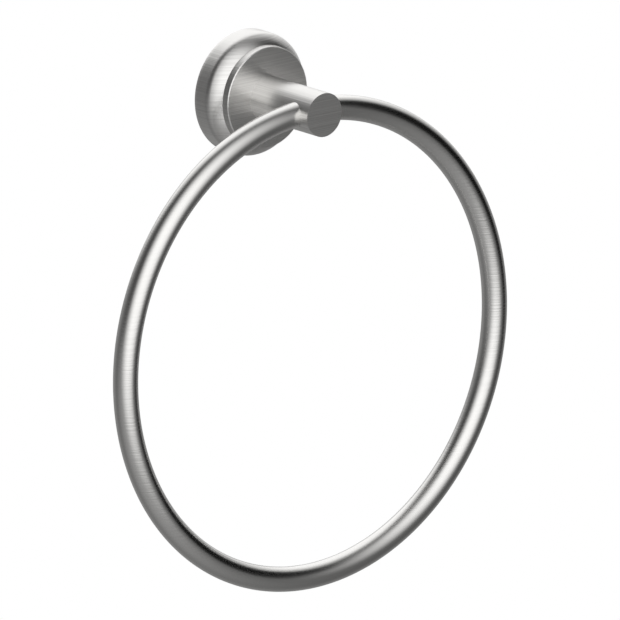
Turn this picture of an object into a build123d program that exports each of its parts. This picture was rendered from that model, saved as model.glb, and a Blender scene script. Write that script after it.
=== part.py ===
from build123d import *
import os

# Towel ring: a round bar bent to a ring, held in a straight post on a stepped round wall flange.
# Millimetres, +Z up. The wall is the plane Y = 0 and the object stands off it towards -Y.
# The origin is the centre of the wall face, on the axis of the post.

# Ring, bent from round bar, its two ends meeting inside the post
ring_outer_diameter = 180.0
rod_diameter = 9.0
rod_end_gap = 0.4
lock_flat_depth = 0.4
lock_flat_length = 9.0

# Post, measured along its axis from the wall
projection = 45.0
post_diameter = 16.0
ring_setback = 8.0
root_fillet = 0.15

# Wall flange, cast in one with the post; the step is measured at its foot
flange_diameter = 45.0
band_height = 6.6
slope_height = 4.25
slope_bulge = 0.4
slope_rounding = 4.0
step_diameter = 37.3
step_height = 2.75
step_draft = 0.2
step_chamfer = 0.3

# Hollow behind the flange
band_wall = 2.6
step_wall = 3.15
face_wall = 3.2
hollow_fillet = 1.2

# Wall bracket that the flange slips over
bracket_thickness = 6.0
bracket_web = 3.0
bracket_rim = 3.2
wall_screw_spacing = 22.0
wall_screw_hole = 4.5
wall_screw_head = 8.6
countersink_angle = 90.0

# Grub screw in the underside of the flange, which grips the bracket
set_screw_diameter = 4.0
set_screw_length = 4.0
set_screw_recess = 0.5
set_screw_socket = 2.0
set_screw_socket_depth = 1.8

# Grub screw inside the post, which grips both ends of the ring
lock_screw_diameter = 6.0
lock_screw_length = 12.0
lock_screw_socket = 3.0
lock_screw_socket_depth = 3.5
lock_screw_runout = 2.0
lead_bore_diameter = 8.0

# Fits, all on the radius
ring_bore_clearance = 0.05
bracket_clearance = 0.25
thread_clearance = 0.05
screw_point_chamfer = 0.6

# Sizes that follow from those above
rod_radius = rod_diameter / 2
ring_radius = ring_outer_diameter / 2 - rod_radius
ring_plane = projection - ring_setback
lock_flat_plane = ring_plane - rod_radius + lock_flat_depth
post_radius = post_diameter / 2
flange_radius = flange_diameter / 2
step_radius = step_diameter / 2
rim_radius = step_radius - step_draft
step_base = band_height + slope_height
face_height = step_base + step_height
hollow_radius = flange_radius - band_wall
inner_hollow_radius = step_radius - step_wall
hollow_roof = face_height - face_wall
bracket_radius = hollow_radius - bracket_clearance
set_screw_head = flange_radius - set_screw_recess
set_screw_point = set_screw_head - set_screw_length
set_screw_height = bracket_thickness / 2
lock_screw_head = lock_flat_plane - lock_screw_length
tapped_start = lock_screw_head - lock_screw_runout

# Profiles are drawn with the radius along X and the height off the wall along local Y.
outward = Vector(0, -1, 0)
post_axis = Axis((0, 0, 0), outward)
profile_plane = Plane(origin=(0, 0, 0), x_dir=(1, 0, 0), z_dir=(0, 0, -1))


def off_wall(height):
    """Plane parallel to the wall at a height off it, facing outward."""
    return Plane(origin=outward * height, x_dir=(1, 0, 0), z_dir=outward)


def under_flange(drop):
    """Plane below the axis at the height of the set screw, facing up towards the axis."""
    return Plane(origin=(0, -set_screw_height, -drop), x_dir=(1, 0, 0), z_dir=(0, 0, 1))


def nearest_corner(outline, radius, height):
    """Corner of an outline that lies at a radius and a height off the wall."""
    return outline.vertices().sort_by_distance((radius, height))[0]


def ring_torus(radius):
    """Full torus on the centreline of the ring, which crosses the axis of the post."""
    centre = outward * ring_plane - Vector(0, 0, ring_radius)
    return Plane(origin=centre, x_dir=(1, 0, 0), z_dir=outward) * Torus(ring_radius, radius)


def ring():
    """Bar bent to a circle, with a saw gap between its ends and a flat for the lock screw."""
    top = Pos(outward * ring_plane)
    gap = top * Box(rod_end_gap, 2 * rod_diameter, 2 * rod_diameter)
    to_the_wall = (Align.CENTER, Align.MIN, Align.CENTER)
    flat_stock = Box(lock_flat_length, rod_diameter, rod_diameter, align=to_the_wall)
    flat = Pos(outward * lock_flat_plane) * flat_stock
    return ring_torus(rod_radius) - gap - flat


def casting_outside():
    """Post and flange turned from one outline: band, bulged slope, step, flat face and post."""
    band_edge = (flange_radius, band_height)
    with BuildPart() as outside:
        with BuildSketch(profile_plane) as outline:
            with BuildLine():
                Polyline((0, projection), (0, 0), (flange_radius, 0), band_edge)
                SagittaArc(band_edge, (step_radius, step_base), -slope_bulge)
                Polyline(
                    (step_radius, step_base),
                    (rim_radius, face_height - step_chamfer),
                    (rim_radius - step_chamfer, face_height),
                    (post_radius, face_height),
                    (post_radius, projection),
                    (0, projection),
                )
            make_face()
            fillet(nearest_corner(outline, post_radius, face_height), root_fillet)
            fillet(nearest_corner(outline, flange_radius, band_height), slope_rounding)
        revolve(axis=post_axis)
    return outside.part


def casting_hollow():
    """Room behind the flange: a straight bore for the bracket, a shoulder, and a smaller domed hollow."""
    with BuildPart() as hollow:
        with BuildSketch(profile_plane) as outline:
            with BuildLine():
                Polyline(
                    (0, 0),
                    (hollow_radius, 0),
                    (hollow_radius, bracket_thickness),
                    (inner_hollow_radius, bracket_thickness),
                    (inner_hollow_radius, hollow_roof),
                    (0, hollow_roof),
                    close=True,
                )
            make_face()
            fillet(nearest_corner(outline, inner_hollow_radius, hollow_roof), hollow_fillet)
        revolve(axis=post_axis)
    return hollow.part


def drilled(plane, diameter, depth):
    """Round hole of a diameter, sunk from a plane along its normal."""
    return plane * Cylinder(diameter / 2, depth, align=(Align.CENTER, Align.CENTER, Align.MIN))


def post_flange():
    """One casting: the outside, less the hollow, the bore for the ring and the two tapped holes."""
    set_screw_hole = drilled(
        under_flange(flange_radius + set_screw_recess),
        set_screw_diameter + 2 * thread_clearance,
        band_wall + 2 * set_screw_recess,
    )
    lead_bore = drilled(off_wall(0), lead_bore_diameter, tapped_start)
    lock_screw_hole = drilled(off_wall(0), lock_screw_diameter + 2 * thread_clearance, ring_plane)
    casting = casting_outside() - casting_hollow() - ring_torus(rod_radius + ring_bore_clearance)
    return casting - set_screw_hole - lead_bore - lock_screw_hole


def wall_bracket():
    """Shallow round cup, open to the front, with two countersunk holes and a seat for the set screw."""
    recess_depth = bracket_thickness - bracket_web
    body = drilled(off_wall(0), 2 * bracket_radius, bracket_thickness)
    recess = drilled(off_wall(bracket_web), 2 * (bracket_radius - bracket_rim), recess_depth)
    seat = drilled(
        under_flange(bracket_radius + set_screw_recess),
        set_screw_diameter + 2 * bracket_clearance,
        bracket_radius + set_screw_recess - set_screw_point,
    )
    bracket = body - recess - seat
    for height in (wall_screw_spacing / 2, -wall_screw_spacing / 2):
        hole_plane = Plane(origin=(0, -bracket_web, height), x_dir=(1, 0, 0), z_dir=outward)
        bracket -= hole_plane * CounterSinkHole(
            wall_screw_hole / 2, wall_screw_head / 2, bracket_web, countersink_angle)
    return bracket


def grub_screw(head_plane, diameter, length, socket, socket_depth):
    """Headless screw from its socket end along the plane's normal, with a flat bevelled point."""
    with BuildPart(head_plane) as screw:
        Cylinder(diameter / 2, length, align=(Align.CENTER, Align.CENTER, Align.MIN))
        screw_axis = Axis(head_plane.origin, head_plane.z_dir)
        point_edge = screw.edges().filter_by(GeomType.CIRCLE).sort_by(screw_axis)[-1]
        chamfer(point_edge, screw_point_chamfer)
        with BuildSketch(head_plane):
            RegularPolygon(socket / 2, 6, major_radius=False)
        extrude(amount=socket_depth, mode=Mode.SUBTRACT)
    return screw.part


def flange_set_screw():
    """Grub screw that points up from the underside of the flange into the seat of the bracket."""
    return grub_screw(
        under_flange(set_screw_head),
        set_screw_diameter,
        set_screw_length,
        set_screw_socket,
        set_screw_socket_depth,
    )


def ring_lock_screw():
    """Grub screw that points outward along the post on to the flat of the ring's ends."""
    return grub_screw(
        off_wall(lock_screw_head),
        lock_screw_diameter,
        lock_screw_length,
        lock_screw_socket,
        lock_screw_socket_depth,
    )


os.makedirs("parts", exist_ok=True)
for piece in (ring, post_flange, wall_bracket, flange_set_screw, ring_lock_screw):
    export_step(piece(), f"parts/{piece.__name__}.step")
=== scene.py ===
"""Satin nickel towel ring: the dressed model and the studio it is photographed in."""
import logging
import math
from dataclasses import dataclass
from enum import Enum
from typing import Any

import bpy
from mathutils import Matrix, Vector


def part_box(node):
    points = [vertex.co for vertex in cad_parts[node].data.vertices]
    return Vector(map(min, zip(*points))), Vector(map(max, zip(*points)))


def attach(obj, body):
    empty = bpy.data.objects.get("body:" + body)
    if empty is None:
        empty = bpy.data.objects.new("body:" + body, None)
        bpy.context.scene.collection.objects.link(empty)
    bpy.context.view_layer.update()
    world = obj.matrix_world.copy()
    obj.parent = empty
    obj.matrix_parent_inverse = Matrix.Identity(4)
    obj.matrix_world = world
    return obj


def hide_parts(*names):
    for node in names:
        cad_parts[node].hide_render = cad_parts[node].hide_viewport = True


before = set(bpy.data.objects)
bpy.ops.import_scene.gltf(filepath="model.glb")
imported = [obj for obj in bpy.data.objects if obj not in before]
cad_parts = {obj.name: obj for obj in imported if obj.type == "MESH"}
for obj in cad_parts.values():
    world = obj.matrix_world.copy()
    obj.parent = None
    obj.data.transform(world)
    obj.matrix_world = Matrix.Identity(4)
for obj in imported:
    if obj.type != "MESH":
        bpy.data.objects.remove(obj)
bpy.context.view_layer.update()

MM = 0.001
MERGE_GAP = 0.001 * MM  # corners closer than this become one, in metres
SHARP_ANGLE = 25.0  # faces that meet at more than this keep their edge, in degrees
OVERCUT = 1.0  # how far a cutter starts outside the piece, in mm
NOISE_LOW, NOISE_MIDDLE, NOISE_HIGH = 0.3, 0.5, 0.7  # usual range of the noise nodes
QUARTER_TURN = 0.25  # turns the wider blur from along the strokes to across them
WHITE = "#FFFFFF"
Outline = list[tuple[float, float]]
log = logging.getLogger("towel_ring")


class Slot(Enum):
    """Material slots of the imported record."""

    SATIN_NICKEL = "satin_nickel"
    CAST_ZINC = "cast_zinc"
    SCREW_STEEL = "screw_steel"


class TurningAxis(Enum):
    """Directions along which the round pieces are turned."""

    OFF_WALL = (0.0, -1.0, 0.0)
    UPWARD = (0.0, 0.0, 1.0)


def linear(hex_colour: str) -> tuple[float, float, float, float]:
    """Turn an sRGB hex colour into linear light.

    Args:
        hex_colour: Colour such as "#C8C6C2".

    Returns:
        Linear red, green, blue and an alpha of 1.
    """
    channels = [int(hex_colour[i : i + 2], 16) / 255 for i in (1, 3, 5)]
    red, green, blue = (c / 12.92 if c <= 0.04045 else ((c + 0.055) / 1.055) ** 2.4 for c in channels)
    return red, green, blue, 1.0


def add_node(
    tree: bpy.types.NodeTree,
    kind: str,
    settings: dict[str, Any] | None = None,
    inputs: dict[Any, Any] | None = None,
) -> bpy.types.Node:
    """Add a shader node with its settings, constants and links.

    Args:
        tree: Node tree that gets the node.
        kind: Node type, without its "ShaderNode" prefix.
        settings: Properties to set on the node.
        inputs: Input names or numbers, each with a constant or with the output socket to link.

    Returns:
        The new node.
    """
    node = tree.nodes.new("ShaderNode" + kind)
    for name, value in (settings or {}).items():
        setattr(node, name, value)
    for name, value in (inputs or {}).items():
        if isinstance(value, bpy.types.NodeSocket):
            tree.links.new(value, node.inputs[name])
        else:
            node.inputs[name].default_value = value
    return node


def new_material(name: str) -> tuple[bpy.types.Material, bpy.types.NodeTree]:
    """Start a material with an empty node tree.

    Args:
        name: Name of the material.

    Returns:
        The material and its node tree.
    """
    material = bpy.data.materials.new(name)
    material.use_nodes = True
    material.node_tree.nodes.clear()
    return material, material.node_tree


def choose(piece: bpy.types.Object) -> None:
    """Select one piece alone and make it active.

    Args:
        piece: Object to select.
    """
    bpy.ops.object.select_all(action="DESELECT")
    piece.select_set(True)
    bpy.context.view_layer.objects.active = piece


def edit(piece: bpy.types.Object) -> None:
    """Select one piece alone and open it in edit mode with everything in it selected.

    Args:
        piece: Mesh object to edit.
    """
    choose(piece)
    bpy.ops.object.mode_set(mode="EDIT")
    bpy.ops.mesh.select_all(action="SELECT")


def close_shell(piece: bpy.types.Object) -> None:
    """Merge a piece's doubles, turn its faces outward and put its place into its mesh.

    Args:
        piece: Mesh object to finish.
    """
    edit(piece)
    bpy.ops.mesh.remove_doubles(threshold=MERGE_GAP)
    bpy.ops.mesh.normals_make_consistent(inside=False)
    bpy.ops.object.mode_set(mode="OBJECT")
    bpy.ops.object.transform_apply(location=True, rotation=True, scale=True)


def arc(centre: tuple[float, float], radius: float, start: float, end: float, steps: int) -> Outline:
    """Corners along an arc of an outline.

    Args:
        centre: Radius and height of the arc's centre, in mm.
        radius: Radius of the arc, in mm.
        start: Angle of the first corner in degrees, 0 pointing away from the axis.
        end: Angle of the last corner in degrees.
        steps: Number of straight runs.

    Returns:
        Corners from start to end, both included.
    """
    angles = [math.radians(start + (end - start) * i / steps) for i in range(steps + 1)]
    return [(centre[0] + radius * math.cos(a), centre[1] + radius * math.sin(a)) for a in angles]


def run(start: tuple[float, float], end: tuple[float, float], steps: int) -> Outline:
    """Corners along a straight run of an outline.

    Args:
        start: First corner, in mm.
        end: Last corner, in mm.
        steps: Number of equal parts.

    Returns:
        Corners from start to end, both included.
    """
    spans = [i / steps for i in range(steps + 1)]
    return [(start[0] + (end[0] - start[0]) * s, start[1] + (end[1] - start[1]) * s) for s in spans]


def turn(name: str, outline: Outline, foot: Vector, axis: TurningAxis, steps: int) -> bpy.types.Object:
    """Turn a solid on a lathe: extrude a corner along an outline and spin it about an axis.

    Args:
        name: Name of the new object.
        outline: Corners as radius and height above the foot, in mm, from axis to axis.
        foot: Point on the axis that heights are counted from, in metres.
        axis: Direction of the axis.
        steps: Number of sections round the axis.

    Returns:
        The closed solid.
    """
    upward = Vector(axis.value)
    corners = [
        foot + Vector((radius, 0.0, 0.0)) * MM + upward * height * MM for radius, height in outline
    ]
    bpy.ops.object.select_all(action="DESELECT")
    bpy.ops.mesh.primitive_plane_add(size=MM, location=corners[0])
    piece = bpy.context.object
    piece.name = name
    edit(piece)
    bpy.ops.mesh.merge(type="CENTER")
    for corner, following in zip(corners, corners[1:]):
        bpy.ops.mesh.extrude_vertices_move(TRANSFORM_OT_translate={"value": following - corner})
    bpy.ops.mesh.select_all(action="SELECT")
    bpy.ops.mesh.spin(steps=steps, angle=2 * math.pi, center=foot, axis=upward)
    bpy.ops.object.mode_set(mode="OBJECT")
    close_shell(piece)
    return piece


def cut(piece: bpy.types.Object, cutter: bpy.types.Object) -> None:
    """Take a cutter out of a piece and throw the cutter away.

    Args:
        piece: Mesh object that gets the cut.
        cutter: Closed mesh object that is taken out of it.
    """
    choose(piece)
    modifier = piece.modifiers.new("cut", "BOOLEAN")
    modifier.operation = "DIFFERENCE"
    modifier.solver = "EXACT"
    modifier.object = cutter
    bpy.ops.object.modifier_apply(modifier=modifier.name)
    bpy.data.objects.remove(cutter, do_unlink=True)


def smooth(piece: bpy.types.Object) -> None:
    """Shade a piece smooth, except across its edges.

    Args:
        piece: Mesh object to shade.
    """
    choose(piece)
    bpy.ops.object.shade_smooth_by_angle(angle=math.radians(SHARP_ANGLE))


def install(piece: bpy.types.Object, node: str) -> None:
    """Let a piece stand for its CAD node on the object's one body.

    Args:
        piece: Finished mesh object.
        node: CAD node that it replaces.
    """
    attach(piece, "root")
    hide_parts(node)


@dataclass(frozen=True)
class SatinNickel:
    """Satin nickel plate over zinc, brushed on a belt with all strokes level.

    Attributes:
        name: Name of the material.
        bright: Colour of the open metal.
        dull: Painted shade: colour in the deeper strokes, darker for the shade that falls in them.
        stroke_length: Length of a brush stroke, in mm.
        stroke_width: Width of a brush stroke, in mm.
        stroke_depth: Depth of a brush stroke, in mm.
        smoothest: Roughness of the open metal.
        roughest: Roughness in the deeper strokes.
        middle: Height of the middle of the piece, in mm.
        stroke_reach: Distance above and below the middle that is fully brushed, in mm.
        stroke_end: Distance above and below the middle where the strokes have faded out, in mm.
        steep: How far up or down a face may look and still be fully brushed; 1 is straight up or down.
        level: How far up or down a face looks that the belt leaves smooth.
        spread: How much more the metal blurs across the strokes than along them.
    """

    name: str
    bright: str
    dull: str
    stroke_length: float
    stroke_width: float
    stroke_depth: float
    smoothest: float
    roughest: float
    middle: float = 0.0
    stroke_reach: float = 30.0
    stroke_end: float = 90.0
    steep: float = 0.7
    level: float = 0.97
    spread: float = 0.4

    def make(self) -> bpy.types.Material:
        """Make the material: soft grey mirror, with fine level streaks that break up its reflections,
        and painted shade in the deeper strokes.

        Returns:
            The material.
        """
        material, tree = new_material(self.name)
        place = add_node(tree, "TexCoord")
        # The strokes are drawn coarser than the belt's grit, so that they show in the picture.
        along, across = 1 / (self.stroke_length * MM), 1 / (self.stroke_width * MM)
        grain = add_node(
            tree, "Mapping", None, {"Vector": place.outputs["Object"], "Scale": (along, along, across)}
        )
        strokes = add_node(
            tree,
            "TexNoise",
            None,
            {"Vector": grain.outputs["Vector"], "Scale": 1.0, "Detail": 1.0, "Roughness": 0.5},
        )
        surface = add_node(tree, "NewGeometry")
        # The belt only grazes what faces straight up or down, and leaves it smooth.
        facing = add_node(tree, "SeparateXYZ", None, {0: surface.outputs["Normal"]})
        tilt = add_node(tree, "Math", {"operation": "ABSOLUTE"}, {0: facing.outputs["Z"]})
        brushed = add_node(
            tree,
            "MapRange",
            {"interpolation_type": "SMOOTHSTEP"},
            {"Value": tilt.outputs["Value"], "From Min": self.level, "From Max": self.steep},
        )
        # It bears on the middle of a piece, and its strokes thin out far above and below that.
        spot = add_node(tree, "SeparateXYZ", None, {0: place.outputs["Object"]})
        rise = add_node(
            tree, "Math", {"operation": "SUBTRACT"}, {0: spot.outputs["Z"], 1: self.middle * MM}
        )
        distance = add_node(tree, "Math", {"operation": "ABSOLUTE"}, {0: rise.outputs["Value"]})
        pressure = add_node(
            tree,
            "MapRange",
            None,
            {
                "Value": distance.outputs["Value"],
                "From Min": self.stroke_end * MM,
                "From Max": self.stroke_reach * MM,
                "To Max": brushed.outputs["Result"],
            },
        )
        marks = add_node(
            tree,
            "Mix",
            None,
            {0: pressure.outputs["Result"], 2: NOISE_MIDDLE, 3: strokes.outputs["Fac"]},
        )
        height = add_node(
            tree,
            "MapRange",
            None,
            {"Value": marks.outputs[0], "From Min": NOISE_LOW, "From Max": NOISE_HIGH},
        )
        # Painted shade: the deeper strokes take the darker dull colour, for the shade that falls in
        # them.
        tone = add_node(
            tree,
            "Mix",
            {"data_type": "RGBA"},
            {0: height.outputs["Result"], 6: linear(self.dull), 7: linear(self.bright)},
        )
        gloss = add_node(
            tree,
            "MapRange",
            None,
            {"Value": height.outputs["Result"], "To Min": self.roughest, "To Max": self.smoothest},
        )
        relief = add_node(
            tree,
            "Bump",
            None,
            {"Strength": 1.0, "Distance": self.stroke_depth * MM, "Height": marks.outputs[0]},
        )
        stroke_line = add_node(
            tree,
            "VectorMath",
            {"operation": "CROSS_PRODUCT"},
            {0: surface.outputs["Normal"], 1: (0.0, 0.0, 1.0)},
        )
        metal = add_node(
            tree,
            "BsdfPrincipled",
            None,
            {
                "Base Color": tone.outputs[2],
                "Metallic": 1.0,
                "Roughness": gloss.outputs["Result"],
                "Anisotropic": self.spread,
                "Anisotropic Rotation": QUARTER_TURN,
                "Tangent": stroke_line.outputs["Vector"],
                "Normal": relief.outputs["Normal"],
            },
        )
        add_node(tree, "OutputMaterial", None, {"Surface": metal.outputs["BSDF"]})
        return material


@dataclass(frozen=True)
class CastZinc:
    """Die-cast zinc left as it came from the mould, under a thin dull plate.

    Attributes:
        light: Colour of the raised skin.
        dark: Colour in the pits.
        grit: Width of the cast skin's grains, in mm.
        flow: Width of the cloudy flow marks, in mm.
        pit_depth: Depth of the pits, in mm.
        grit_share: How much the grains add to the tone of the flow marks.
        darkest: Sum of flow marks and grains that is as dark as a pit.
        lightest: Sum of flow marks and grains that is as light as the raised skin.
        smoothest: Roughness of the lightest flow marks.
        roughest: Roughness of the darkest flow marks.
    """

    light: str = "#B4B4B1"
    dark: str = "#8E8E8C"
    grit: float = 0.5
    flow: float = 7.0
    pit_depth: float = 0.02
    grit_share: float = 0.4
    darkest: float = 0.45
    lightest: float = 0.95
    smoothest: float = 0.4
    roughest: float = 0.6

    def make(self) -> bpy.types.Material:
        """Make the material: dull grey metal with a fine pebbled skin and cloudy flow marks.

        Returns:
            The material.
        """
        material, tree = new_material("cast_zinc_plain")
        place = add_node(tree, "TexCoord")
        grains = add_node(
            tree, "TexNoise", None, {"Vector": place.outputs["Object"], "Scale": 1 / (self.grit * MM)}
        )
        clouds = add_node(
            tree,
            "TexNoise",
            None,
            {"Vector": place.outputs["Object"], "Scale": 1 / (self.flow * MM), "Detail": 4.0},
        )
        skin = add_node(
            tree,
            "Math",
            {"operation": "MULTIPLY_ADD"},
            {0: grains.outputs["Fac"], 1: self.grit_share, 2: clouds.outputs["Fac"]},
        )
        tone = add_node(
            tree,
            "MapRange",
            {"data_type": "FLOAT_VECTOR"},
            {
                6: skin.outputs["Value"],
                7: (self.darkest,) * 3,
                8: (self.lightest,) * 3,
                9: linear(self.dark)[:3],
                10: linear(self.light)[:3],
            },
        )
        gloss = add_node(
            tree,
            "MapRange",
            None,
            {"Value": clouds.outputs["Fac"], "To Min": self.roughest, "To Max": self.smoothest},
        )
        relief = add_node(
            tree,
            "Bump",
            None,
            {"Strength": 1.0, "Distance": self.pit_depth * MM, "Height": grains.outputs["Fac"]},
        )
        metal = add_node(
            tree,
            "BsdfPrincipled",
            None,
            {
                "Base Color": tone.outputs["Vector"],
                "Metallic": 1.0,
                "Roughness": gloss.outputs["Result"],
                "Normal": relief.outputs["Normal"],
            },
        )
        add_node(tree, "OutputMaterial", None, {"Surface": metal.outputs["BSDF"]})
        return material


@dataclass(frozen=True)
class ScrewSteel:
    """Stainless screw steel, rolled and lightly oiled.

    Attributes:
        bright: Colour of the clean metal.
        stained: Colour of the faint stains.
        stain: Width of the stains, in mm.
        smoothest: Roughness of the clean metal.
        roughest: Roughness of the stains.
    """

    bright: str = "#BDBBB7"
    stained: str = "#8C8A86"
    stain: float = 1.2
    smoothest: float = 0.22
    roughest: float = 0.45

    def make(self) -> bpy.types.Material:
        """Make the material: mid-grey steel with small darker stains that shine a little less.

        Returns:
            The material.
        """
        material, tree = new_material("screw_steel_rolled")
        place = add_node(tree, "TexCoord")
        stains = add_node(
            tree,
            "TexNoise",
            None,
            {"Vector": place.outputs["Object"], "Scale": 1 / (self.stain * MM), "Detail": 5.0},
        )
        tone = add_node(
            tree,
            "Mix",
            {"data_type": "RGBA"},
            {0: stains.outputs["Fac"], 6: linear(self.bright), 7: linear(self.stained)},
        )
        gloss = add_node(
            tree,
            "MapRange",
            None,
            {"Value": stains.outputs["Fac"], "To Min": self.smoothest, "To Max": self.roughest},
        )
        metal = add_node(
            tree,
            "BsdfPrincipled",
            None,
            {"Base Color": tone.outputs[2], "Metallic": 1.0, "Roughness": gloss.outputs["Result"]},
        )
        add_node(tree, "OutputMaterial", None, {"Surface": metal.outputs["BSDF"]})
        return material


@dataclass
class Ring:
    """Round bar bent to a circle, its two ends meeting inside the post. Sizes in mm.

    Attributes:
        outer_diameter: Diameter over the bar.
        rod_diameter: Diameter of the bar.
        stand_off: Distance of the ring's plane from the wall.
        end_gap: Saw gap between the two ends.
        flat_depth: Depth of the flat that the lock screw presses on.
        flat_length: Length of that flat.
        sections: Number of sections along the ring.
        sides: Number of sides round the bar.
    """

    outer_diameter: float
    rod_diameter: float
    stand_off: float
    end_gap: float = 0.4
    flat_depth: float = 0.4
    flat_length: float = 9.0
    sections: int = 480
    sides: int = 72

    @property
    def radius(self) -> float:
        """Radius of the bar's centreline."""
        return (self.outer_diameter - self.rod_diameter) / 2

    @property
    def centre(self) -> Vector:
        """Centre of the ring, in metres."""
        return Vector((0.0, -self.stand_off, -self.radius)) * MM

    def build(self) -> bpy.types.Object:
        """Bend the bar and cut the flat across its ends.

        Returns:
            The ring.
        """
        half_gap = self.end_gap / 2 / self.radius
        start = self.centre + Vector((math.sin(half_gap), 0.0, math.cos(half_gap))) * self.radius * MM
        bpy.ops.object.select_all(action="DESELECT")
        bpy.ops.mesh.primitive_circle_add(
            vertices=self.sides,
            radius=self.rod_diameter / 2 * MM,
            location=start,
            rotation=(0.0, math.pi / 2 + half_gap, 0.0),
        )
        piece = bpy.context.object
        piece.name = "ring_bar"
        edit(piece)
        bpy.ops.mesh.spin(
            steps=self.sections,
            angle=2 * math.pi - 2 * half_gap,
            center=self.centre,
            axis=(0.0, 1.0, 0.0),
        )
        bpy.ops.mesh.select_all(action="SELECT")
        bpy.ops.mesh.fill_holes(sides=0)
        bpy.ops.object.mode_set(mode="OBJECT")
        close_shell(piece)
        cut(piece, self.flat_cutter())
        smooth(piece)
        return piece

    def flat_cutter(self) -> bpy.types.Object:
        """Block that is milled off the wall side of the bar's ends.

        Returns:
            The cutter.
        """
        depth = self.rod_diameter
        flat_plane = self.stand_off - self.rod_diameter / 2 + self.flat_depth
        bpy.ops.object.select_all(action="DESELECT")
        bpy.ops.mesh.primitive_cube_add(
            size=MM,
            location=Vector((0.0, depth / 2 - flat_plane, 0.0)) * MM,
            scale=(self.flat_length, depth, 2 * depth),
        )
        return bpy.context.object

    def bore_cutter(self, clearance: float) -> bpy.types.Object:
        """Curved drill that leaves the bar's seat in the post.

        Args:
            clearance: Gap round the bar, in mm.

        Returns:
            The cutter.
        """
        bpy.ops.object.select_all(action="DESELECT")
        bpy.ops.mesh.primitive_torus_add(
            location=self.centre,
            rotation=(math.pi / 2, 0.0, 0.0),
            major_segments=self.sections,
            minor_segments=self.sides,
            major_radius=self.radius * MM,
            minor_radius=(self.rod_diameter / 2 + clearance) * MM,
        )
        return bpy.context.object

    def dress(self, piece: bpy.types.Object, finish: bpy.types.Material) -> None:
        """Give the ring its finish and its place in the frame.

        Args:
            piece: The ring.
            finish: Satin nickel.
        """
        piece.data.materials.append(finish)
        install(piece, "ring")


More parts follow.
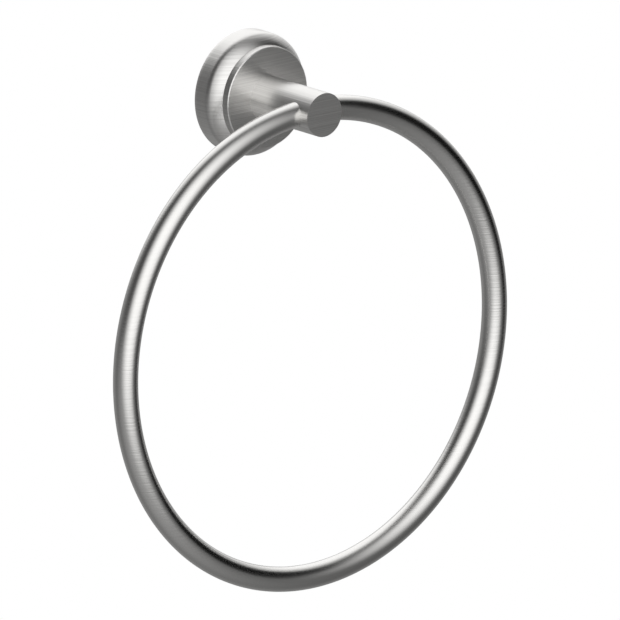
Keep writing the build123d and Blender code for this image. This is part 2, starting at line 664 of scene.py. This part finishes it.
@dataclass
class PostFlange:
    """Post and stepped wall flange in one casting, hollow behind. Sizes in mm, heights off the wall.

    Attributes:
        projection: Height of the post's end face.
        flange_diameter: Diameter of the flange's band.
        post_diameter: Diameter of the post.
        band_height: Height of the band.
        slope_height: Height of the bulged slope over the band.
        slope_bulge: How far the slope bulges over its chord.
        slope_rounding: Radius that rounds the band into the slope.
        step_diameter: Diameter of the step's foot, over the slope.
        step_height: Height of the step.
        step_draft: How far the step's wall leans in from its foot.
        step_chamfer: Bevel round the flat face.
        edge_break: Rounding of the edges on the wall.
        hollow_diameter: Diameter of the bore for the bracket.
        hollow_depth: Depth of that bore.
        inner_diameter: Diameter of the smaller hollow.
        inner_depth: Depth of the smaller hollow.
        inner_fillet: Fillet round its roof.
        lead_diameter: Diameter of the lead bore of the lock screw.
        lead_depth: Depth of the lead bore.
        tapped_diameter: Diameter of the lock screw's tapped hole.
        tapped_depth: Depth of the tapped hole.
        bore_clearance: Gap round the ring in its bore.
        set_screw_hole: Diameter of the set screw's tapped hole.
        set_screw_height: Height of that hole.
    """

    projection: float
    flange_diameter: float
    post_diameter: float = 16.0
    band_height: float = 6.6
    slope_height: float = 4.25
    slope_bulge: float = 0.4
    slope_rounding: float = 4.0
    step_diameter: float = 37.3
    step_height: float = 2.75
    step_draft: float = 0.2
    step_chamfer: float = 0.3
    edge_break: float = 0.12
    hollow_diameter: float = 39.8
    hollow_depth: float = 6.0
    inner_diameter: float = 31.0
    inner_depth: float = 10.4
    inner_fillet: float = 1.2
    lead_diameter: float = 8.0
    lead_depth: float = 18.9
    tapped_diameter: float = 6.1
    tapped_depth: float = 37.0
    bore_clearance: float = 0.015
    set_screw_hole: float = 4.1
    set_screw_height: float = 3.0

    def outside(self) -> Outline:
        """Outline from the middle of the end face down to the wall.

        Returns:
            Corners as radius and height.
        """
        post, step, flange = self.post_diameter / 2, self.step_diameter / 2, self.flange_diameter / 2
        step_base = self.band_height + self.slope_height
        face = step_base + self.step_height
        soft, rim = self.edge_break, step - self.step_draft
        outline = run((0.0, self.projection), (post, self.projection), steps=6)
        outline += run((post, self.projection), (post, face), steps=16)[1:]
        outline += run((post, face), (rim - self.step_chamfer, face), steps=4)[1:]
        outline += [(rim, face - self.step_chamfer)]
        outline += run((rim, face - self.step_chamfer), (step, step_base), steps=3)[1:]
        outline += self.slope(step, step_base, flange)[1:]
        outline += run(outline[-1], (flange, soft), steps=4)[1:]
        outline += arc((flange - soft, soft), soft, 0, -90, steps=3)[1:]
        return outline

    def slope(self, step: float, step_base: float, flange: float) -> Outline:
        """Outline of the bulged slope and of the rounding into the band.

        Args:
            step: Radius of the step.
            step_base: Height of the step's foot.
            flange: Radius of the band.

        Returns:
            Corners as radius and height, from the foot of the step to the band.
        """
        rise, inward = step_base - self.band_height, flange - step
        chord = math.hypot(rise, inward)
        bend = (chord**2 / 4 + self.slope_bulge**2) / (2 * self.slope_bulge)
        drop = bend - self.slope_bulge
        middle = ((step + flange) / 2, (step_base + self.band_height) / 2)
        centre = (middle[0] - drop * rise / chord, middle[1] - drop * inward / chord)
        corner, arm = flange - self.slope_rounding, bend - self.slope_rounding
        corner_height = centre[1] + math.sqrt(arm**2 - (corner - centre[0]) ** 2)
        top = math.degrees(math.atan2(step_base - centre[1], step - centre[0]))
        seam = math.degrees(math.atan2(corner_height - centre[1], corner - centre[0]))
        bulge = arc(centre, bend, top, seam, steps=20)
        return bulge + arc((corner, corner_height), self.slope_rounding, seam, 0, steps=16)[1:]

    def inside(self) -> Outline:
        """Outline from the rim on the wall up the hollow to the bottom of the tapped hole.

        Returns:
            Corners as radius and height.
        """
        hollow, inner, soft = self.hollow_diameter / 2, self.inner_diameter / 2, self.edge_break
        lead, tapped, fillet = self.lead_diameter / 2, self.tapped_diameter / 2, self.inner_fillet
        outline = arc((hollow + soft, soft), soft, -90, -180, steps=3)
        outline += [(hollow, self.hollow_depth), (inner, self.hollow_depth)]
        outline += arc((inner - fillet, self.inner_depth - fillet), fillet, 0, 90, steps=6)
        outline += [(lead, self.inner_depth), (lead, self.lead_depth), (tapped, self.lead_depth)]
        outline += [(tapped, self.tapped_depth), (0.0, self.tapped_depth)]
        return outline

    def build(self, ring: Ring) -> bpy.types.Object:
        """Turn the casting, then drill the ring's bore and the set screw's hole.

        Args:
            ring: Ring whose bar the bore is for.

        Returns:
            The casting.
        """
        outline = self.outside() + self.inside()
        piece = turn("post_flange_casting", outline, Vector(), TurningAxis.OFF_WALL, steps=256)
        cut(piece, ring.bore_cutter(self.bore_clearance))
        cut(piece, self.set_screw_drill())
        smooth(piece)
        return piece

    def set_screw_drill(self) -> bpy.types.Object:
        """Drill for the set screw's hole in the underside of the band.

        Returns:
            The cutter.
        """
        drill, past_wall = self.set_screw_hole / 2, 0.3
        low, high = -self.flange_diameter / 2 - OVERCUT, -self.hollow_diameter / 2 + past_wall
        foot = Vector((0.0, -self.set_screw_height, 0.0)) * MM
        outline = [(0.0, low), (drill, low), (drill, high), (0.0, high)]
        return turn("set_screw_drill", outline, foot, TurningAxis.UPWARD, steps=48)

    def dress(
        self, piece: bpy.types.Object, finish: bpy.types.Material, cast: bpy.types.Material
    ) -> None:
        """Brush the outside, leave the hollow as cast, and place the piece in the frame.

        Args:
            piece: The casting.
            finish: Satin nickel.
            cast: Cast zinc.
        """
        piece.data.materials.append(finish)
        piece.data.materials.append(cast)
        slack = 0.1
        for face in piece.data.polygons:
            radius, height = math.hypot(face.center.x, face.center.z) / MM, -face.center.y / MM
            in_bore = radius < self.hollow_diameter / 2 and height < self.hollow_depth + slack
            in_hollow = radius < self.inner_diameter / 2 and height < self.inner_depth + slack
            in_lead = radius < self.lead_diameter / 2 and height < self.tapped_depth + slack
            if in_bore or in_hollow or in_lead:
                face.material_index = 1
        install(piece, "post_flange")


@dataclass
class WallBracket:
    """Round cast cup that is screwed to the wall behind the flange. Sizes in mm, heights off the wall.

    Attributes:
        diameter: Diameter over the rim.
        thickness: Height of the rim.
        web: Thickness of the floor.
        rim: Thickness of the rim.
        edge_break: Rounding of the edges.
        corner_fillet: Fillet between floor and rim.
        screw_spacing: Distance between the two wall screws, one above the other.
        screw_hole: Diameter of their holes.
        screw_head: Diameter of their countersinks.
        seat_diameter: Diameter of the set screw's seat.
        seat_depth: Distance of the seat's bottom from the axis.
    """

    diameter: float
    thickness: float
    web: float = 3.0
    rim: float = 3.2
    edge_break: float = 0.3
    corner_fillet: float = 0.5
    screw_spacing: float = 22.0
    screw_hole: float = 4.5
    screw_head: float = 8.6
    seat_diameter: float = 4.5
    seat_depth: float = 18.0

    def build(self) -> bpy.types.Object:
        """Turn the cup, then drill its two countersunk holes and the seat.

        Returns:
            The bracket.
        """
        outer, soft = self.diameter / 2, self.edge_break
        inner, fillet = outer - self.rim, self.corner_fillet
        outline = [(0.0, 0.0)]
        outline += arc((outer - soft, soft), soft, -90, 0, steps=4)
        outline += arc((outer - soft, self.thickness - soft), soft, 0, 90, steps=4)
        outline += arc((inner + soft, self.thickness - soft), soft, 90, 180, steps=4)
        outline += arc((inner - fillet, self.web + fillet), fillet, 0, -90, steps=5)
        outline += [(0.0, self.web)]
        piece = turn("wall_bracket_cup", outline, Vector(), TurningAxis.OFF_WALL, steps=128)
        for height in (self.screw_spacing / 2, -self.screw_spacing / 2):
            cut(piece, self.countersink(height))
        cut(piece, self.seat())
        smooth(piece)
        return piece

    def countersink(self, height: float) -> bpy.types.Object:
        """Countersinking drill for a wall screw.

        Args:
            height: Height of the hole above the post's axis, in mm.

        Returns:
            The cutter.
        """
        hole, head, foot = self.screw_hole / 2, self.screw_head / 2, Vector((0.0, 0.0, height)) * MM
        outline = [(0.0, -OVERCUT), (hole, -OVERCUT), (hole, self.web - head + hole), (head, self.web)]
        outline += [(head, self.web + OVERCUT), (0.0, self.web + OVERCUT)]
        return turn("countersink", outline, foot, TurningAxis.OFF_WALL, steps=64)

    def seat(self) -> bpy.types.Object:
        """Drill for the set screw's seat in the underside of the rim.

        Returns:
            The cutter.
        """
        drill, low, high = self.seat_diameter / 2, -self.diameter / 2 - OVERCUT, -self.seat_depth
        foot = Vector((0.0, -self.thickness / 2, 0.0)) * MM
        outline = [(0.0, low), (drill, low), (drill, high), (0.0, high)]
        return turn("set_screw_seat", outline, foot, TurningAxis.UPWARD, steps=48)

    def dress(self, piece: bpy.types.Object, finish: bpy.types.Material) -> None:
        """Give the bracket its finish and its place in the frame.

        Args:
            piece: The bracket.
            finish: Cast zinc.
        """
        piece.data.materials.append(finish)
        install(piece, "wall_bracket")


@dataclass
class GrubScrew:
    """Headless screw with a hexagon socket, a cut thread and a flat bevelled point. Sizes in mm.

    Attributes:
        node: CAD node that it stands for.
        foot: Middle of its socket end, in metres.
        axis: Direction from socket end to point.
        diameter: Diameter over the thread.
        length: Length over all.
        socket: Width of the socket across its flats.
        socket_depth: Depth of the socket.
        pitch: Distance between the threads.
        point_bevel: Bevel round the point.
        end_bevel: Bevel round the socket end.
        thread_depth: Depth of the thread, as a share of its pitch.
        groove_reach: Half the width of the thread's groove, as a share of its pitch.
        rings_per_pitch: Rings of corners that the groove is drawn with.
        drill_point: Depth of the point under the socket, as a share of the socket's corner radius.
    """

    node: str
    foot: Vector
    axis: TurningAxis
    diameter: float
    length: float
    socket: float
    socket_depth: float
    pitch: float
    point_bevel: float = 0.6
    end_bevel: float = 0.3
    thread_depth: float = 0.54
    groove_reach: float = 0.42
    rings_per_pitch: int = 8
    drill_point: float = 0.3

    def build(self) -> bpy.types.Object:
        """Turn the blank, cut the thread and broach the socket.

        Returns:
            The screw.
        """
        crest, bevel, point = self.diameter / 2, self.end_bevel, self.point_bevel
        outline = [(0.0, 0.0), (crest - bevel, 0.0)]
        rings = round((self.length - bevel - point) / self.pitch * self.rings_per_pitch)
        outline += run((crest, bevel), (crest, self.length - point), steps=rings)
        outline += [(crest - point, self.length), (0.0, self.length)]
        piece = turn(f"{self.node}_threaded", outline, self.foot, self.axis, steps=48)
        self.cut_thread(piece)
        cut(piece, self.socket_broach())
        smooth(piece)
        return piece

    def cut_thread(self, piece: bpy.types.Object) -> None:
        """Sink a helical groove into the blank's full diameter.

        Args:
            piece: The blank.
        """
        upward = Vector(self.axis.value)
        side = Vector((1.0, 0.0, 0.0))
        depth = self.thread_depth * self.pitch * MM
        just_inside = 0.49 * self.diameter * MM
        for corner in piece.data.vertices:
            height = (corner.co - self.foot).dot(upward)
            arm = corner.co - self.foot - upward * height
            if arm.length < just_inside:
                continue
            angle = math.atan2(arm.dot(upward.cross(side)), arm.dot(side))
            phase = (height / (self.pitch * MM) - angle / (2 * math.pi)) % 1.0
            groove = max(0.0, 1.0 - abs(phase - 0.5) / self.groove_reach)
            corner.co -= arm.normalized() * depth * groove

    def socket_broach(self) -> bpy.types.Object:
        """Six-sided broach with a drilled point that cuts the socket.

        Returns:
            The cutter.
        """
        corner = self.socket / math.sqrt(3)
        outline = [(0.0, -OVERCUT), (corner, -OVERCUT), (corner, self.socket_depth)]
        outline += [(0.0, self.socket_depth + self.drill_point * corner)]
        return turn("socket_broach", outline, self.foot, self.axis, steps=6)

    def dress(self, piece: bpy.types.Object, finish: bpy.types.Material) -> None:
        """Give the screw its finish and its place in the frame.

        Args:
            piece: The screw.
            finish: Screw steel.
        """
        piece.data.materials.append(finish)
        install(piece, self.node)


def toward(azimuth: float, elevation: float) -> Vector:
    """Unit vector in a direction.

    Args:
        azimuth: Angle round the object in degrees, 0 in front and 90 on the right.
        elevation: Angle over the horizon in degrees.

    Returns:
        The unit vector.
    """
    around, above = math.radians(azimuth), math.radians(elevation)
    level = math.cos(above)
    return Vector((math.sin(around) * level, -math.cos(around) * level, math.sin(above)))


@dataclass(frozen=True)
class SoftBox:
    """Soft light, or a flag that shades one, in the tent round the object. Angles in degrees.

    Attributes:
        azimuth: Direction of its middle, 0 in front and 90 on the right.
        elevation: Height of its middle over the horizon.
        core: Angle from its middle that is fully bright.
        fade: Angle over which it fades to nothing.
        strength: Brightness of the core, where 1 is white, or the share of light that a flag holds back.
    """

    azimuth: float
    elevation: float
    core: float
    fade: float
    strength: float

    @property
    def direction(self) -> Vector:
        """Unit vector to the middle of the light."""
        return toward(self.azimuth, self.elevation)


@dataclass(frozen=True)
class Studio:
    """White studio: light tent, pale floor and a camera with parallel rays.

    Attributes:
        middle: Middle of the tent, in metres.
        tent_radius: Radius of the tent, in metres.
        dim: Brightness of the tent between its lights.
        floor_level: Height of the floor, in metres.
        floor_radius: Radius of the floor, in metres.
        floor_colour: Colour of the floor.
        floor_glow: What the floor adds for the camera, so that it shows as white as the world.
        view_azimuth: Azimuth of the camera, in degrees.
        view_elevation: Elevation of the camera, in degrees.
        view_width: Width of the picture at the object, in metres.
        view_lift: How far the camera aims above the middle of the ring, in metres.
        view_distance: Distance of the camera, in metres.
    """

    middle: Vector
    tent_radius: float = 1.2
    dim: float = 0.01
    floor_level: float = -0.45
    floor_radius: float = 0.6
    floor_colour: str = "#D9D9D7"
    floor_glow: float = 0.4
    view_azimuth: float = -39.97
    view_elevation: float = 14.83
    view_width: float = 0.22029
    view_lift: float = 0.01183
    view_distance: float = 1.0

    def lights(self) -> list[SoftBox]:
        """The tent's lights.

        Returns:
            Key light at the front left, a weak fill at the front, lights behind on the right and
            overhead, a small one behind on each side for the rims, and light from below.
        """
        key = SoftBox(azimuth=-21.9, elevation=21.7, core=19.5, fade=52.5, strength=1.006)
        key_top = SoftBox(azimuth=-18.2, elevation=43.8, core=13.2, fade=25.5, strength=0.133)
        fill = SoftBox(azimuth=8.1, elevation=-15.5, core=0.1, fade=21.2, strength=0.103)
        right_high = SoftBox(azimuth=129.4, elevation=44.3, core=27.9, fade=17.9, strength=0.404)
        behind_high = SoftBox(azimuth=156.1, elevation=38.6, core=26.2, fade=24.0, strength=0.56)
        behind = SoftBox(azimuth=146.9, elevation=5.7, core=38.2, fade=58.3, strength=0.266)
        rim_left = SoftBox(azimuth=175.0, elevation=25.0, core=6.0, fade=11.0, strength=0.26)
        rim_right = SoftBox(azimuth=119.0, elevation=3.0, core=4.0, fade=10.0, strength=0.36)
        bounce = SoftBox(azimuth=-48.1, elevation=-31.5, core=0.0, fade=129.1, strength=0.354)
        return [key, key_top, fill, right_high, behind_high, behind, rim_left, rim_right, bounce]

    def flags(self) -> list[SoftBox]:
        """Black flags that hold light back.

        Returns:
            Two flags at the front right, one over the other, and one on the left.
        """
        high = SoftBox(azimuth=61.4, elevation=29.2, core=9.0, fade=19.2, strength=1.0)
        low = SoftBox(azimuth=64.4, elevation=6.3, core=18.1, fade=7.5, strength=1.0)
        left = SoftBox(azimuth=-103.8, elevation=21.9, core=4.3, fade=25.0, strength=0.451)
        return [high, low, left]

    def build(self) -> None:
        """Put up the tent, the floor, the white world and the camera."""
        self.put_up_tent()
        self.lay_floor()
        self.paint_world()
        self.set_camera()

    def put_up_tent(self) -> None:
        """Put up a ball-shaped tent that glows where its lights stand, unseen by the camera."""
        bpy.ops.object.select_all(action="DESELECT")
        bpy.ops.mesh.primitive_uv_sphere_add(
            segments=64, ring_count=32, radius=self.tent_radius, location=self.middle
        )
        tent = bpy.context.object
        tent.name = "light_tent"
        tent.visible_camera = False
        tent.visible_diffuse = False
        tent.visible_shadow = False
        material, tree = new_material("tent_cloth_lit")
        place = add_node(tree, "TexCoord")
        direction = add_node(
            tree, "VectorMath", {"operation": "NORMALIZE"}, {0: place.outputs["Object"]}
        )
        total = None
        for light in self.lights():
            glow = self.shine(tree, direction, light, 0.0, light.strength)
            total = add_node(
                tree,
                "Math",
                {"operation": "ADD"},
                {0: glow.outputs["Result"], 1: total.outputs["Value"] if total else self.dim},
            )
        for flag in self.flags():
            shade = self.shine(tree, direction, flag, 1.0, 1.0 - flag.strength)
            total = add_node(
                tree,
                "Math",
                {"operation": "MULTIPLY"},
                {0: total.outputs["Value"], 1: shade.outputs["Result"]},
            )
        lamp = add_node(
            tree, "Emission", None, {"Color": linear(WHITE), "Strength": total.outputs["Value"]}
        )
        add_node(tree, "OutputMaterial", None, {"Surface": lamp.outputs["Emission"]})
        tent.data.materials.append(material)

    def shine(
        self,
        tree: bpy.types.NodeTree,
        direction: bpy.types.Node,
        light: SoftBox,
        outside: float,
        inside: float,
    ) -> bpy.types.Node:
        """Nodes for one light or flag: a round patch of the tent with a soft edge.

        Args:
            tree: Node tree of the tent.
            direction: Node that gives the direction from the tent's middle.
            light: Light or flag.
            outside: Value outside its edge.
            inside: Value in its core.

        Returns:
            Node whose Result is the value in each direction.
        """
        facing = add_node(
            tree,
            "VectorMath",
            {"operation": "DOT_PRODUCT"},
            {0: direction.outputs["Vector"], 1: light.direction},
        )
        angle = add_node(tree, "Math", {"operation": "ARCCOSINE"}, {0: facing.outputs["Value"]})
        return add_node(
            tree,
            "MapRange",
            {"interpolation_type": "SMOOTHSTEP"},
            {
                "Value": angle.outputs["Value"],
                "From Min": math.radians(light.core + light.fade),
                "From Max": math.radians(light.core),
                "To Min": outside,
                "To Max": inside,
            },
        )

    def lay_floor(self) -> None:
        """Lay a round pale floor that takes the object's shadow and shows white to the camera."""
        bpy.ops.object.select_all(action="DESELECT")
        bpy.ops.mesh.primitive_circle_add(
            vertices=96,
            radius=self.floor_radius,
            fill_type="NGON",
            location=(self.middle.x, self.middle.y, self.floor_level),
        )
        floor = bpy.context.object
        floor.name = "studio_floor"
        floor.visible_glossy = False
        material, tree = new_material("floor_card_matt")
        ray = add_node(tree, "LightPath")
        glow = add_node(
            tree,
            "Math",
            {"operation": "MULTIPLY"},
            {0: ray.outputs["Is Camera Ray"], 1: self.floor_glow},
        )
        card = add_node(
            tree,
            "BsdfPrincipled",
            None,
            {
                "Base Color": linear(self.floor_colour),
                "Roughness": 0.9,
                "Emission Color": linear(WHITE),
                "Emission Strength": glow.outputs["Value"],
            },
        )
        add_node(tree, "OutputMaterial", None, {"Surface": card.outputs["BSDF"]})
        floor.data.materials.append(material)

    def paint_world(self) -> None:
        """Make the world plain white, as the camera sees it outside the tent."""
        world = bpy.data.worlds.new("white_world")
        world.use_nodes = True
        world.node_tree.nodes.clear()
        backdrop = add_node(
            world.node_tree, "Background", None, {"Color": linear(WHITE), "Strength": 1.0}
        )
        add_node(world.node_tree, "OutputWorld", None, {"Surface": backdrop.outputs["Background"]})
        bpy.context.scene.world = world

    def set_camera(self) -> None:
        """Aim a camera with parallel rays at the ring from the front left, a little above."""
        facing = toward(self.view_azimuth, self.view_elevation)
        turned = facing.to_track_quat("Z", "Y")
        aim = self.middle + turned @ Vector((0.0, self.view_lift, 0.0))
        lens = bpy.data.cameras.new("photo_camera")
        lens.type = "ORTHO"
        lens.ortho_scale = self.view_width
        camera = bpy.data.objects.new("photo_camera", lens)
        camera.location = aim + facing * self.view_distance
        camera.rotation_euler = turned.to_euler()
        bpy.context.scene.collection.objects.link(camera)
        bpy.context.scene.camera = camera


def size_of(node: str) -> tuple[Vector, Vector]:
    """Corners of a CAD node's box in mm.

    Args:
        node: Name of the CAD node.

    Returns:
        Lowest and highest corner.
    """
    low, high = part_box(node)
    return Vector(low) / MM, Vector(high) / MM


def main() -> None:
    """Build each piece of the towel ring in order, dress it, and set up the studio."""
    logging.basicConfig(level=logging.INFO, format="%(name)s: %(message)s")
    bpy.context.scene.view_settings.view_transform = "Standard"
    low, high = size_of("ring")
    ring = Ring(
        outer_diameter=high.x - low.x,
        rod_diameter=high.y - low.y,
        stand_off=-(low.y + high.y) / 2,
    )

    zinc, steel = CastZinc().make(), ScrewSteel().make()
    bar_nickel = SatinNickel(
        name="satin_nickel_brushed_bar",
        bright="#E4E3E1",
        # The dull colour is painted shade in the deeper strokes.
        dull="#E2E1DF",
        stroke_length=120.0,
        stroke_width=0.5,
        stroke_depth=0.056,
        smoothest=0.23,
        roughest=0.27,
        middle=ring.centre.z / MM,
    ).make()
    cast_nickel = SatinNickel(
        name="satin_nickel_brushed_casting",
        bright="#ECEBE9",
        # The dull colour is painted shade in the deeper strokes.
        dull="#D7D6D4",
        stroke_length=120.0,
        stroke_width=0.42,
        stroke_depth=0.07,
        smoothest=0.29,
        roughest=0.33,
    ).make()

    bar = ring.build()
    ring.dress(bar, bar_nickel)
    log.info("ring: %d faces", len(bar.data.polygons))

    low, high = size_of("post_flange")
    post_flange = PostFlange(projection=-low.y, flange_diameter=high.x - low.x)
    casting = post_flange.build(ring)
    post_flange.dress(casting, cast_nickel, zinc)
    log.info("post and flange: %d faces", len(casting.data.polygons))

    low, high = size_of("wall_bracket")
    bracket = WallBracket(diameter=high.x - low.x, thickness=-low.y)
    cup = bracket.build()
    bracket.dress(cup, zinc)
    log.info("wall bracket: %d faces", len(cup.data.polygons))

    low, high = size_of("flange_set_screw")
    set_screw = GrubScrew(
        node="flange_set_screw",
        foot=Vector((0.0, (low.y + high.y) / 2, low.z)) * MM,
        axis=TurningAxis.UPWARD,
        diameter=high.x - low.x,
        length=high.z - low.z,
        socket=2.0,
        socket_depth=1.5,
        pitch=0.7,
    )
    low, high = size_of("ring_lock_screw")
    lock_screw = GrubScrew(
        node="ring_lock_screw",
        foot=Vector((0.0, high.y, 0.0)) * MM,
        axis=TurningAxis.OFF_WALL,
        diameter=high.x - low.x,
        length=high.y - low.y,
        socket=3.0,
        socket_depth=3.0,
        pitch=1.0,
    )
    for screw in (set_screw, lock_screw):
        shank = screw.build()
        screw.dress(shank, steel)
        log.info("%s: %d faces", screw.node, len(shank.data.polygons))

    Studio(middle=ring.centre).build()
    log.info("boxes written")


if __name__ == "__main__":
    main()
